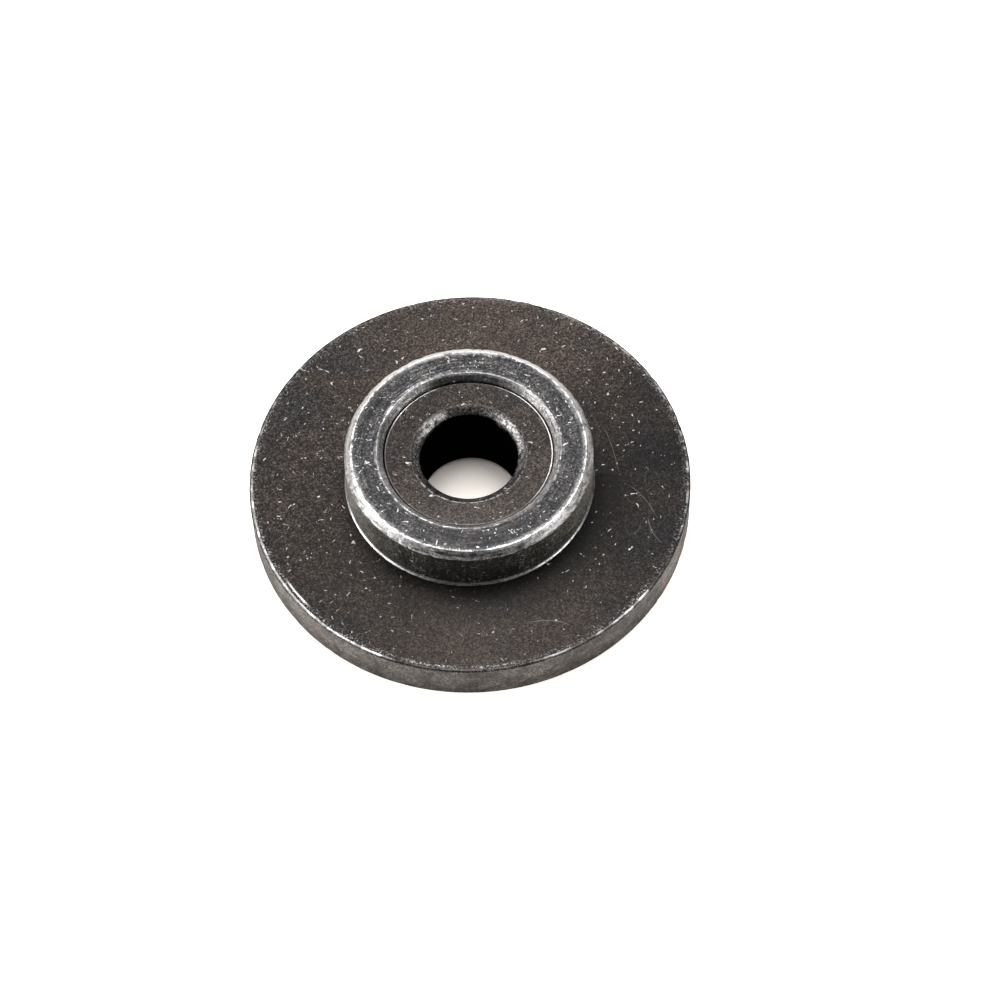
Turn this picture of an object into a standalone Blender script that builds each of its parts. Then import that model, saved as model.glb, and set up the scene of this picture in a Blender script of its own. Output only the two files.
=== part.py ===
"""Flanged steel seam-roller wheel in three turned pieces.

A disc flange is pressed on the spigot of a turned hub collar, and the two spin together on a plain
inner sleeve. The collar's face has a lead-in cone, and the sleeve's end stands a little below it.

Metres, +Z up along the wheel's axis. The origin is the centre of the underside.
"""
import math

import bpy

# Driving dimensions, in metres
FLANGE_DIAMETER = 0.0422
FLANGE_THICKNESS = 0.0042
FLANGE_EDGE_BREAK = 0.00015
HUB_DIAMETER = 0.0236
HUB_HEIGHT = 0.0051          # above the flange's top
HUB_CHAMFER = 0.0006
HUB_ROOT_CHAMFER = 0.0002    # small foot where the hub's wall meets the flange
LEAD_IN_DIAMETER = 0.0173    # mouth of the cone inside the hub's face
SPIGOT_DIAMETER = 0.0194     # press-fit spigot through the flange
SPIGOT_RECESS = 0.0002       # spigot's end above the flange's underside
SPIGOT_CHAMFER = 0.0003
SLEEVE_DIAMETER = 0.0160
SLEEVE_LENGTH = 0.0086
SLEEVE_EDGE_BREAK = 0.00012
AXLE_BORE_DIAMETER = 0.00935
BORE_MOUTH_CHAMFER = 0.0006   # at the sleeve's upper end
BORE_BACK_CHAMFER = 0.0003    # at its lower end
RUNNING_CLEARANCE = 0.00012  # radial, between the sleeve and the hub's bore
FIT_GAP = 0.00005            # between the pressed faces of the flange and the hub

# Turning
TURN_STEPS = 96
MERGE_DISTANCE = 1e-6
SHARP_ANGLE = math.radians(30.0)

# Worked out from the dimensions above
FLANGE_RADIUS = FLANGE_DIAMETER / 2
HUB_RADIUS = HUB_DIAMETER / 2
HUB_TOP = FLANGE_THICKNESS + HUB_HEIGHT
SHOULDER = FLANGE_THICKNESS + FIT_GAP
SPIGOT_RADIUS = SPIGOT_DIAMETER / 2
SEAT_RADIUS = SPIGOT_RADIUS + FIT_GAP
SLEEVE_RADIUS = SLEEVE_DIAMETER / 2
HUB_BORE_RADIUS = SLEEVE_RADIUS + RUNNING_CLEARANCE
LEAD_IN_RADIUS = LEAD_IN_DIAMETER / 2
LEAD_IN_DEPTH = LEAD_IN_RADIUS - HUB_BORE_RADIUS
AXLE_BORE_RADIUS = AXLE_BORE_DIAMETER / 2


def clear_scene():
    """Start from an empty scene."""
    for old in list(bpy.data.objects):
        bpy.data.objects.remove(old, do_unlink=True)


def steel(name, colour, roughness, metallic):
    """A Principled material for one finish of steel."""
    material = bpy.data.materials.new(name)
    material.use_nodes = True
    shader = material.node_tree.nodes["Principled BSDF"]
    shader.inputs["Base Color"].default_value = (*colour, 1.0)
    shader.inputs["Roughness"].default_value = roughness
    shader.inputs["Metallic"].default_value = metallic
    material.diffuse_color = (*colour, 1.0)
    return material


def oxide_disc_steel():
    """Matt, grainy brown-black oxide of the disc."""
    return steel("oxide_disc_steel", (0.060, 0.050, 0.046), 0.62, 0.55)


def turned_hub_steel():
    """Smoother blue-grey oxide on the turned collar."""
    return steel("turned_hub_steel", (0.115, 0.115, 0.122), 0.38, 0.75)


def sleeve_steel():
    """Brown-black oxide of the hardened sleeve."""
    return steel("sleeve_steel", (0.072, 0.061, 0.056), 0.55, 0.60)


def turned_piece(name, outline, material, parent, collection):
    """One closed (radius, height) outline, turned a full circle about +Z.

    The outline runs down its outer side, so that the faces point out.
    """
    mesh = bpy.data.meshes.new(name)
    points = [(radius, 0.0, height) for radius, height in outline]
    edges = [(i, (i + 1) % len(points)) for i in range(len(points))]
    mesh.from_pydata(points, edges, [])
    mesh.materials.append(material)
    profile = bpy.data.objects.new(name + "_profile", mesh)
    collection.objects.link(profile)
    screw = profile.modifiers.new("Turn", "SCREW")
    screw.axis = "Z"
    screw.angle = math.tau
    screw.screw_offset = 0.0
    screw.steps = TURN_STEPS
    screw.render_steps = TURN_STEPS
    screw.use_merge_vertices = True
    screw.merge_threshold = MERGE_DISTANCE
    turned = bpy.data.meshes.new_from_object(profile.evaluated_get(bpy.context.evaluated_depsgraph_get()))
    bpy.data.objects.remove(profile, do_unlink=True)
    turned.name = name
    turned.shade_smooth()
    turned.set_sharp_from_angle(angle=SHARP_ANGLE)
    piece = bpy.data.objects.new(name, turned)
    piece.parent = parent
    collection.objects.link(piece)
    return piece


def flange_disc(parent, collection):
    """Flat disc with broken edges and the seat that the hub's spigot is pressed into."""
    outline = [
        (SEAT_RADIUS, FLANGE_THICKNESS),
        (FLANGE_RADIUS - FLANGE_EDGE_BREAK, FLANGE_THICKNESS),
        (FLANGE_RADIUS, FLANGE_THICKNESS - FLANGE_EDGE_BREAK),
        (FLANGE_RADIUS, FLANGE_EDGE_BREAK),
        (FLANGE_RADIUS - FLANGE_EDGE_BREAK, 0.0),
        (SEAT_RADIUS, 0.0),
    ]
    return turned_piece("flange_disc", outline, oxide_disc_steel(), parent, collection)


def hub_collar(parent, collection):
    """Raised collar with a chamfered rim, a lead-in cone in its face and a spigot below its shoulder."""
    outline = [
        (LEAD_IN_RADIUS, HUB_TOP),
        (HUB_RADIUS - HUB_CHAMFER, HUB_TOP),
        (HUB_RADIUS, HUB_TOP - HUB_CHAMFER),
        (HUB_RADIUS, SHOULDER + HUB_ROOT_CHAMFER),
        (HUB_RADIUS + HUB_ROOT_CHAMFER, SHOULDER),
        (SPIGOT_RADIUS, SHOULDER),
        (SPIGOT_RADIUS, SPIGOT_RECESS + SPIGOT_CHAMFER),
        (SPIGOT_RADIUS - SPIGOT_CHAMFER, SPIGOT_RECESS),
        (HUB_BORE_RADIUS, SPIGOT_RECESS),
        (HUB_BORE_RADIUS, HUB_TOP - LEAD_IN_DEPTH),
    ]
    return turned_piece("hub_collar", outline, turned_hub_steel(), parent, collection)


def bearing_sleeve(parent, collection):
    """Plain sleeve with broken outer edges and a chamfered mouth at each end of the axle bore."""
    outline = [
        (AXLE_BORE_RADIUS + BORE_MOUTH_CHAMFER, SLEEVE_LENGTH),
        (SLEEVE_RADIUS - SLEEVE_EDGE_BREAK, SLEEVE_LENGTH),
        (SLEEVE_RADIUS, SLEEVE_LENGTH - SLEEVE_EDGE_BREAK),
        (SLEEVE_RADIUS, SLEEVE_EDGE_BREAK),
        (SLEEVE_RADIUS - SLEEVE_EDGE_BREAK, 0.0),
        (AXLE_BORE_RADIUS + BORE_BACK_CHAMFER, 0.0),
        (AXLE_BORE_RADIUS, BORE_BACK_CHAMFER),
        (AXLE_BORE_RADIUS, SLEEVE_LENGTH - BORE_MOUTH_CHAMFER),
    ]
    return turned_piece("bearing_sleeve", outline, sleeve_steel(), parent, collection)


def axis_empty(name, collection):
    """An empty on the wheel's axis, for the pieces that turn together."""
    empty = bpy.data.objects.new(name, None)
    empty.empty_display_size = FLANGE_RADIUS
    collection.objects.link(empty)
    return empty


def main():
    clear_scene()
    collection = bpy.data.collections.new("seam_roller_wheel")
    bpy.context.scene.collection.children.link(collection)
    fixed_axis = axis_empty("sleeve_axis", collection)
    spin_axis = axis_empty("roller_axis", collection)
    spin_axis.parent = fixed_axis
    bearing_sleeve(fixed_axis, collection)
    hub_collar(spin_axis, collection)
    flange_disc(spin_axis, collection)


main()
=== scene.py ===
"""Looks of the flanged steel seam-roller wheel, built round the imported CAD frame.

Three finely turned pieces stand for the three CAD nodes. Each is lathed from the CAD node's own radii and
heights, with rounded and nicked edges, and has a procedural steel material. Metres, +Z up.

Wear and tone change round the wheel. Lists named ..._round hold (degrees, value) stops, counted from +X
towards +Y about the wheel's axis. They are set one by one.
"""
import math
import random

import bpy
import numpy as np
from mathutils import Matrix, Vector, noise


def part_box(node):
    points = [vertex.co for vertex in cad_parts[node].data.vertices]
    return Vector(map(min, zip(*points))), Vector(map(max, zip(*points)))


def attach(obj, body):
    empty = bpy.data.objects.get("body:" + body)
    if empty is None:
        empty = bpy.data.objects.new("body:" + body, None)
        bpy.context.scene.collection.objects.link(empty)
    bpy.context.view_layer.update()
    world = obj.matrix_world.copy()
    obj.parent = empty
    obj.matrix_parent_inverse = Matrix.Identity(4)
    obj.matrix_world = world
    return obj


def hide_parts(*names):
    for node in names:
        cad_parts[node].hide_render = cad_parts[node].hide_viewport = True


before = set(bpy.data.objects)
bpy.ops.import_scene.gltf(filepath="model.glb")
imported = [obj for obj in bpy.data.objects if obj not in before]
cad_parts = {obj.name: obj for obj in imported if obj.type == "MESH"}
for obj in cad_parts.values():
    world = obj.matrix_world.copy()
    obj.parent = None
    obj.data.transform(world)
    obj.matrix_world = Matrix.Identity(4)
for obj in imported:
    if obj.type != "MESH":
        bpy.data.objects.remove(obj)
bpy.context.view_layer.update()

MM = 0.001
TURN_SEGMENTS = 720
ARC_STEPS = 6          # straight steps in a rounded corner
LONGEST_REACH = 0.45   # of the shorter neighbouring edge, for a rounded corner

# Camera, as a distance, offsets and angles from the wheel
CAMERA_ELEVATION = math.radians(58.525)
CAMERA_ROLL = math.radians(1.912)
CAMERA_DISTANCE = 322.3 * MM
CAMERA_OFFSET_X = -2.814 * MM
CAMERA_OFFSET_Y = 0.055 * MM
CAMERA_LENS_MM = 120.04
SENSOR_MM = 36.0


# ---------------------------------------------------------------- CAD values

def distinct(values, tolerance=5e-6):
    """Sorted values with near-equal ones merged."""
    kept = []
    for value in sorted(values):
        if not kept or value - kept[-1] > tolerance:
            kept.append(value)
    return kept


def corner_values(node):
    """The radii and the heights of a turned CAD node's corners, lowest first."""
    corners = [v.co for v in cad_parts[node].data.vertices]
    return distinct(c.xy.length for c in corners), distinct(c.z for c in corners)


def highest(node, radius, tolerance=5e-6):
    """The highest of a turned CAD node's corners at a radius."""
    corners = [v.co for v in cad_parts[node].data.vertices]
    return max(c.z for c in corners if abs(c.xy.length - radius) < tolerance)


# ---------------------------------------------------------------- turned meshes

def rounded_outline(corners):
    """A closed (radius, height) outline from (radius, height, rounding) corners, each rounded by an arc."""
    points = []
    count = len(corners)
    for i, (radius, height, rounding) in enumerate(corners):
        here = Vector((radius, height))
        if rounding <= 0.0:
            points.append(here)
            continue
        before = Vector(corners[i - 1][:2]) - here
        after = Vector(corners[(i + 1) % count][:2]) - here
        reach = min(rounding, LONGEST_REACH * before.length, LONGEST_REACH * after.length)
        start = here + before.normalized() * reach
        end = here + after.normalized() * reach
        for step in range(ARC_STEPS + 1):
            t = step / ARC_STEPS
            points.append(start * (1 - t) ** 2 + here * (2 * t * (1 - t)) + end * t ** 2)
    return points


def refined(points, longest):
    """The closed outline with each long edge split; longest(midpoint) gives the longest edge there."""
    fine = []
    for i, point in enumerate(points):
        following = points[(i + 1) % len(points)]
        middle = (point + following) / 2
        parts = max(1, math.ceil((following - point).length / longest(middle)))
        for part in range(parts):
            fine.append(point.lerp(following, part / parts))
    return fine


def lathe(name, outline, shaping):
    """One closed mesh turned from an outline; shaping(radius, height, angle) gives new radii and heights."""
    count = len(outline)
    radii = np.array([p.x for p in outline])
    heights = np.array([p.y for p in outline])
    angles = np.arange(TURN_SEGMENTS) * math.tau / TURN_SEGMENTS
    angle, radius = np.meshgrid(angles, radii, indexing="ij")
    height = np.meshgrid(angles, heights, indexing="ij")[1]
    radius, height = shaping(radius, height, angle)
    verts = np.stack([radius * np.cos(angle), radius * np.sin(angle), height], -1).reshape(-1, 3)
    faces = []
    for turn in range(TURN_SEGMENTS):
        here, there = turn * count, ((turn + 1) % TURN_SEGMENTS) * count
        for i in range(count):
            j = (i + 1) % count
            faces.append((here + i, here + j, there + j, there + i))
    mesh = bpy.data.meshes.new(name)
    mesh.from_pydata(verts.tolist(), [], faces)
    mesh.validate()
    mesh.shade_smooth()
    piece = bpy.data.objects.new(name, mesh)
    bpy.context.scene.collection.objects.link(piece)
    return piece


def around(angle, centre):
    """Signed angle from centre, wrapped to half a turn each way."""
    return (angle - centre + math.pi) % math.tau - math.pi


def nicks(radius, height, angle, edge, inward, count, seed, depth, width, reach):
    """Small dents along a circular edge, as (radial, axial) arrays of each vertex's move along inward."""
    draw = random.Random(seed)
    near = np.exp(-((radius - edge[0]) ** 2 + (height - edge[1]) ** 2) / (2 * reach ** 2))
    push = np.zeros_like(radius)
    for _ in range(count):
        centre = draw.uniform(0.0, math.tau)
        half = draw.uniform(0.3, 1.0) * width / edge[0]
        deep = draw.uniform(0.2, 1.0) ** 2 * depth
        push = np.maximum(push, deep * np.exp(-((around(angle, centre) / half) ** 2)))
    push = push * near
    return push * inward[0], push * inward[1]


def waves(radius, height, angle, size, seed):
    """Smooth unevenness from -1 to 1 with features of about size."""
    offset = Vector((seed * 7.31, seed * 3.17, seed * 5.71))
    x, y = radius * np.cos(angle) / size, radius * np.sin(angle) / size
    flat = [noise.noise(Vector((a, b, c)) + offset)
            for a, b, c in zip(x.ravel(), y.ravel(), (height / size).ravel())]
    return np.array(flat).reshape(radius.shape)


def stand_for(piece, node, body, material):
    """Ride piece on body in place of a CAD node."""
    piece.data.materials.append(material)
    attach(piece, body)
    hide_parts(node)


# ---------------------------------------------------------------- node graphs

class Graph:
    """Short calls for building one material's nodes."""

    def __init__(self, name):
        self.material = bpy.data.materials.new(name)
        self.material.use_nodes = True
        self.tree = self.material.node_tree
        self.shader = self.tree.nodes["Principled BSDF"]
        place = self.node("TexCoord").outputs["Object"]
        self.place = place
        split = self.node("SeparateXYZ", Vector=place)
        x, y, self.height = split.outputs
        self.radius = self.math("SQRT", self.plus(self.times(x, x), self.times(y, y)))
        turn = self.math("DIVIDE", self.math("ARCTAN2", y, x), math.tau)
        self.turn = self.math("FRACT", self.plus(turn, 1.0))

    def node(self, kind, **inputs):
        """A new shader node with its inputs fed; an underscore in a name stands for a space."""
        made = self.tree.nodes.new("ShaderNode" + kind)
        for name, value in inputs.items():
            self.feed(made.inputs[name.replace("_", " ")], value)
        return made

    def feed(self, socket, value):
        """Link a socket to another one, or set it where the value is plain."""
        if isinstance(value, bpy.types.NodeSocket):
            self.tree.links.new(value, socket)
        else:
            socket.default_value = value

    def math(self, operation, a, b=0.0):
        made = self.node("Math")
        made.operation = operation
        self.feed(made.inputs[0], a)
        self.feed(made.inputs[1], b)
        return made.outputs[0]

    def plus(self, a, b):
        return self.math("ADD", a, b)

    def minus(self, a, b):
        return self.math("SUBTRACT", a, b)

    def times(self, *factors):
        """The product of two or more numbers or shares."""
        product = factors[0]
        for factor in factors[1:]:
            product = self.math("MULTIPLY", product, factor)
        return product

    def without(self, share):
        """What a share leaves of the whole."""
        return self.math("SUBTRACT", 1.0, share)

    def noise(self, size, detail=2.0, roughness=0.5, place=None):
        """Noise from 0 to 1 with features of about size metres."""
        made = self.node("TexNoise", Vector=place or self.place, Scale=1.0 / size, Detail=detail,
                Roughness=roughness)
        return made.outputs["Fac"]

    def shifted(self, x, y, z):
        """The object's place, moved, so that two noises of one size differ."""
        made = self.node("VectorMath", Vector=self.place)
        made.operation = "ADD"
        made.inputs[1].default_value = (x, y, z)
        return made.outputs[0]

    def smooth(self, value, low, high):
        """0 below low and 1 above high, or the reverse where low is the larger."""
        below = 1.0 if low > high else 0.0
        made = self.node("MapRange", Value=value, From_Min=min(low, high), From_Max=max(low, high),
                         To_Min=below, To_Max=1.0 - below)
        made.interpolation_type = "SMOOTHSTEP"
        return made.outputs["Result"]

    def mix(self, share, a, b):
        """Colour a mixed towards colour b."""
        made = self.node("Mix")
        made.data_type = "RGBA"
        self.feed(made.inputs[0], share)
        self.feed(made.inputs[6], (*a, 1.0) if isinstance(a, tuple) else a)
        self.feed(made.inputs[7], (*b, 1.0) if isinstance(b, tuple) else b)
        return made.outputs[2]

    def blend(self, share, a, b):
        """Number a mixed towards number b."""
        made = self.node("Mix")
        self.feed(made.inputs[0], share)
        self.feed(made.inputs[2], a)
        self.feed(made.inputs[3], b)
        return made.outputs[0]

    def scaled(self, colour, amount):
        """A colour times a number."""
        made = self.node("VectorMath", Vector=colour)
        made.operation = "SCALE"
        self.feed(made.inputs["Scale"], amount)
        return made.outputs[0]

    def any_of(self, *shares):
        """The largest of several shares."""
        total = shares[0]
        for share in shares[1:]:
            total = self.math("MAXIMUM", total, share)
        return total

    def from_edge(self, radius, height):
        """Distance from a circular edge."""
        across = self.minus(self.radius, radius)
        up = self.minus(self.height, height)
        return self.math("SQRT", self.plus(self.times(across, across), self.times(up, up)))

    def sectors(self, stops):
        """A share that changes round the wheel, from (degrees, share) stops in rising order."""
        made = self.node("ValToRGB", Fac=self.turn)
        ramp = made.color_ramp
        ramp.interpolation = "EASE"
        while len(ramp.elements) < len(stops):
            ramp.elements.new(1.0)
        for element, (degrees, share) in zip(ramp.elements, stops):
            element.position = degrees / 360.0
            element.color = (share, share, share, 1.0)
        return made.outputs["Color"]

    def stirred(self, place, amount, size):
        """A place pushed about by noise, so that what is drawn on it turns ragged."""
        push = self.node("TexNoise", Vector=place, Scale=1.0 / size, Detail=0.0)
        centred = self.node("VectorMath", Vector=push.outputs["Color"])
        centred.operation = "SUBTRACT"
        centred.inputs[1].default_value = (0.5, 0.5, 0.5)
        pushed = self.node("VectorMath", Vector=self.scaled(centred.outputs[0], amount))
        pushed.operation = "ADD"
        self.feed(pushed.inputs[1], place)
        return pushed.outputs[0]

    def stretched(self, place, degrees, length):
        """A place whose features are drawn out along one level direction."""
        made = self.node("Mapping", Vector=place)
        made.vector_type = "TEXTURE"
        made.inputs["Rotation"].default_value = (0.0, 0.0, math.radians(degrees))
        made.inputs["Scale"].default_value = (length, 1.0, 1.0)
        return made.outputs[0]

    def specks(self, place, size, share, radius):
        """Small specks of varied strength: that share of the cells of that size holds one.

        The radius is measured in cells.
        """
        cells = self.node("TexVoronoi", Vector=place, Scale=1.0 / size)
        chosen = self.node("SeparateColor", Color=cells.outputs["Color"])
        inside = self.smooth(cells.outputs["Distance"], radius, radius * 0.6)
        strength = self.blend(self.times(chosen.outputs[1], chosen.outputs[1]), 0.25, 1.0)
        return self.times(inside, strength, self.math("LESS_THAN", chosen.outputs[0], share))

    def worn(self, share, grain, soft=0.0):
        """Where wear of that share has laid a grainy surface bare: none at 0, nearly all at 1."""
        return self.smooth(self.plus(grain, self.times(share, 0.5)), 0.55 - soft, 0.80 + soft)

    def near_edge(self, radius, height, outer, inner, offset=0.0):
        """A band along a circular edge: 1 within the inner distance of it, fading to 0 at the outer one."""
        return self.smooth(self.plus(self.from_edge(radius, height), offset), outer, inner)

    def hairs(self, size, thin, kept, seed):
        """Short curved hairlines: thin contours of a noise, kept only here and there."""
        place = self.shifted(seed, -seed, 3 * seed)
        field = self.noise(size, detail=0.0, place=place)
        line = self.smooth(self.math("ABSOLUTE", self.minus(field, 0.5)), thin, thin * 0.3)
        where = self.smooth(self.noise(size * 0.45, detail=0.0, place=self.shifted(-seed, seed, seed)),
                kept, kept + 0.04)
        return self.times(line, where)

    def turned_place(self, size):
        """A place whose features are drawn out round the axis, as turning marks are."""
        split = self.node("SeparateXYZ", Vector=self.place)
        x, y = split.outputs[0], split.outputs[1]
        level = self.plus(self.radius, self.times(self.height, 1.7))
        made = self.node("CombineXYZ", X=level,
                Y=self.times(self.math("DIVIDE", x, self.radius), size),
                Z=self.times(self.math("DIVIDE", y, self.radius), size))
        return made.outputs[0]

    def arc_mark(self, x, y, radius, start, end, width):
        """A fine arc scratched in the top: centre, radius and width in millimetres, ends in degrees."""
        split = self.node("SeparateXYZ", Vector=self.shifted(-x * MM, -y * MM, 0.0))
        across, along = split.outputs[0], split.outputs[1]
        away = self.math("SQRT", self.plus(self.times(across, across), self.times(along, along)))
        off = self.math("ABSOLUTE", self.minus(away, radius * MM))
        line = self.smooth(off, width * MM, width * 0.4 * MM)
        turn = self.math("FRACT", self.plus(self.math("DIVIDE", self.math("ARCTAN2", along, across),
                math.tau), 1.0 - start / 360.0))
        span = (end - start) / 360.0
        within = self.times(self.smooth(turn, 0.0, span * 0.2), self.smooth(turn, span, span * 0.8))
        return self.times(line, within)

    def finish(self, colour, metallic, roughness, bump, bump_distance):
        """Feed the shader and give the material back."""
        self.feed(self.shader.inputs["Base Color"], colour)
        self.feed(self.shader.inputs["Metallic"], metallic)
        self.feed(self.shader.inputs["Roughness"], roughness)
        made = self.node("Bump", Height=bump, Strength=1.0, Distance=bump_distance)
        self.feed(self.shader.inputs["Normal"], made.outputs["Normal"])
        return self.material


# Colours of the oxides, the steel under them, the dust and the bore's painted shade
WARM_OXIDE = (0.0262, 0.0190, 0.0163)
COOL_OXIDE = (0.0222, 0.0186, 0.0158)
GREY_OXIDE = (0.0172, 0.0154, 0.0153)
LAND_OXIDE = (0.0275, 0.0262, 0.0268)
LAND_BLUE = (0.0205, 0.0207, 0.0222)
LAND_PALE = (0.0430, 0.0400, 0.0395)
WALL_OXIDE = (0.0190, 0.0180, 0.0160)
RIM_OXIDE_DARK = (0.040, 0.036, 0.034)
RIM_OXIDE_PALE = (0.135, 0.126, 0.120)
SLEEVE_OXIDE = (0.0268, 0.0216, 0.0192)
THIN_OXIDE = (0.90, 0.85, 0.83)
# Painted shade: the bore's near-black colours stand for the shade down it.
BORE_SHADE_DARK = (0.0010, 0.0007, 0.0006)
BORE_SHADE_PALE = (0.0030, 0.0024, 0.0020)
BORE_SCRAPED = (0.34, 0.31, 0.29)
DULL_STEEL = (0.24, 0.23, 0.224)
BARE_STEEL = (0.86, 0.855, 0.85)
DUST = (0.92, 0.90, 0.88)

TONE_SPAN = 2.0        # tones round the wheel are listed as shares of this
# Most of the hub wall's tones round the wheel are painted light and shade.
WALL_SHADING_SPAN = 14.5  # the same for the hub's wall, whose tones spread more
GRAIN_SIZE = 0.125 * MM


class Crystals:
    """The fine grain of an oxide: brightness about 1, a tint share, and the noises behind them."""

    def __init__(self, graph, strength):
        cells = graph.node("TexVoronoi", Vector=graph.place, Scale=1.0 / GRAIN_SIZE)
        split = graph.node("SeparateColor", Color=cells.outputs["Color"])
        self.one = split.outputs[0]
        self.tint = split.outputs[1]
        self.fine = graph.noise(0.19 * MM, detail=1.5, roughness=0.6)
        self.patch = graph.noise(0.80 * MM, detail=2.0)
        total = 0.0
        for part, weight in [(self.one, 3.0), (self.fine, 2.0), (self.patch, 0.6)]:
            off = graph.minus(part, 0.5)
            total = graph.plus(total, graph.times(off, weight * strength))
        self.level = graph.math("EXPONENT", total)
        self.ragged = graph.plus(graph.times(graph.minus(self.one, 0.5), 0.18), self.fine)


def dust(graph, density, seed):
    """Pale dust: ragged flecks in three directions, specks of two sizes and a few fibres, as a share."""
    place = graph.shifted(seed, 2 * seed, 0.5 * seed)
    stirred = graph.stirred(place, 0.60 * MM, 0.35 * MM)
    found = [graph.specks(stirred, 1.8 * MM, 0.14 * density, 0.085)]
    for degrees, size, length in [(20, 0.80, 2.2), (75, 1.0, 4.5), (140, 0.65, 3.0)]:
        drawn_out = graph.stretched(stirred, degrees, length)
        found.append(graph.specks(drawn_out, size * MM, 0.055 * density, 0.080))
    clouds = graph.smooth(graph.noise(2.5 * MM, detail=1.0, place=graph.shifted(-seed, seed, 0)), 0.50,
            0.62)
    small = graph.specks(stirred, 0.36 * MM, 0.20 * density, 0.24)
    found.append(graph.times(small, graph.blend(clouds, 0.06, 0.62)))
    fibres = graph.hairs(1.3 * MM, 0.020, 0.675 - 0.035 * density, 1.7 * seed)
    broken = graph.smooth(graph.noise(0.3 * MM, detail=2.0, place=graph.shifted(seed, 0, seed)), 0.42, 0.58)
    found.append(graph.times(fibres, broken, 0.60))
    return graph.any_of(*found)


def bare_steel(graph, brightening):
    """Bare steel's colour, mottled by the last of its oxide, less so where it is brightened; on the hub this
    brightening is a painted highlight, strongest at the back.
    """
    fine = graph.noise(0.20 * MM, detail=2.0, roughness=0.7, place=graph.shifted(0.02, 0.01, 0))
    brushed = graph.noise(0.13 * MM, detail=2.0, roughness=0.6, place=graph.turned_place(1.5 * MM))
    mottle = graph.plus(graph.times(fine, 0.5), graph.times(brushed, 0.5))
    mottle = graph.plus(mottle, graph.times(brightening, 0.12))
    return graph.mix(graph.smooth(mottle, 0.36, 0.58), DULL_STEEL, BARE_STEEL)


def plate_oxide_and_shading(graph, grains, rim):
    """The flat top's brown-black oxide, greyer in patches, lighter and darker round the wheel partly in
    blotches and partly as painted reflection, darker near the hub as painted shade, and darker along the back
    edge.
    """
    near_rim = graph.smooth(graph.radius, 13 * MM, rim)
    grey_round = graph.sectors([(0, 1.0), (25, 0.5), (60, 0.1), (108, 0.15), (125, 0.9), (150, 0.8),
            (168, 0.3), (205, 0.4), (225, 0.7), (245, 0.2), (280, 0.0), (310, 0.4), (335, 1.0)])
    patchy = graph.plus(graph.noise(5 * MM, detail=3.0), graph.times(near_rim, grey_round, 0.30))
    brown = graph.mix(grains.tint, WARM_OXIDE, COOL_OXIDE)
    oxide = graph.mix(graph.smooth(patchy, 0.54, 0.84), brown, GREY_OXIDE)
    # Partly painted reflection: the top's tone round the wheel follows its blotches and also where the lights
    # reflect in it, brightest at the back.
    tone_round = graph.sectors([(0, 0.17), (30, 0.36), (60, 0.76), (90, 0.82), (120, 0.66), (150, 0.465),
            (180, 0.385), (210, 0.33), (240, 0.385), (270, 0.62), (300, 0.47), (330, 0.26)])
    oxide = graph.scaled(oxide, graph.times(tone_round, TONE_SPAN))
    # Painted shade: the top darkens towards the hub's root, most at the front.
    root_round = graph.sectors([(0, 0.25), (60, 0.0), (170, 0.0), (210, 0.1), (250, 0.55), (270, 0.85),
            (290, 0.8), (325, 0.85)])
    painted_root_shade = graph.times(graph.smooth(graph.radius, 17.5 * MM, 12.5 * MM), root_round)
    oxide = graph.scaled(oxide, graph.without(painted_root_shade))
    back_edge = graph.times(graph.smooth(graph.radius, rim - 0.17 * MM, rim - 0.09 * MM),
            graph.sectors([(0, 0.4), (25, 0.85), (155, 0.85), (175, 0.3), (190, 0.0), (244, 0.0),
            (350, 0.0)]))
    return graph.scaled(oxide, graph.without(back_edge))


def rim_wall_oxide_and_reflection(graph):
    """The scuffed, paler oxide on the disc's outer wall, lighter and darker round the wheel partly as scuffs
    and partly as painted reflection.
    """
    scuffs = graph.noise(1.7 * MM, detail=5.0, roughness=0.66)
    wall = graph.mix(graph.smooth(scuffs, 0.32, 0.68), RIM_OXIDE_DARK, RIM_OXIDE_PALE)
    # Partly painted reflection: the wall's tone round the wheel follows its scuffs and also the light its
    # sides reflect.
    wall_round = graph.sectors([(0, 0.5), (185, 0.4), (197, 0.41), (210, 0.7), (235, 0.64), (255, 0.52),
            (270, 0.53), (285, 0.66), (300, 0.4), (315, 0.42), (330, 0.78), (345, 0.46)])
    return graph.scaled(wall, graph.times(wall_round, TONE_SPAN))


def edge_gaps(graph):
    """Where the bright line on the disc's edge isn't broken off."""
    unbroken = graph.sectors([(0, 0.1), (150, 0.1), (200, 0.55), (240, 0.45), (252, 0.1), (286, 0.1),
            (290, 0.75), (306, 0.6), (320, 0.15), (350, 0.1)])
    return graph.any_of(graph.smooth(graph.noise(0.8 * MM, detail=3.0), 0.44, 0.56), unbroken)


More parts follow.
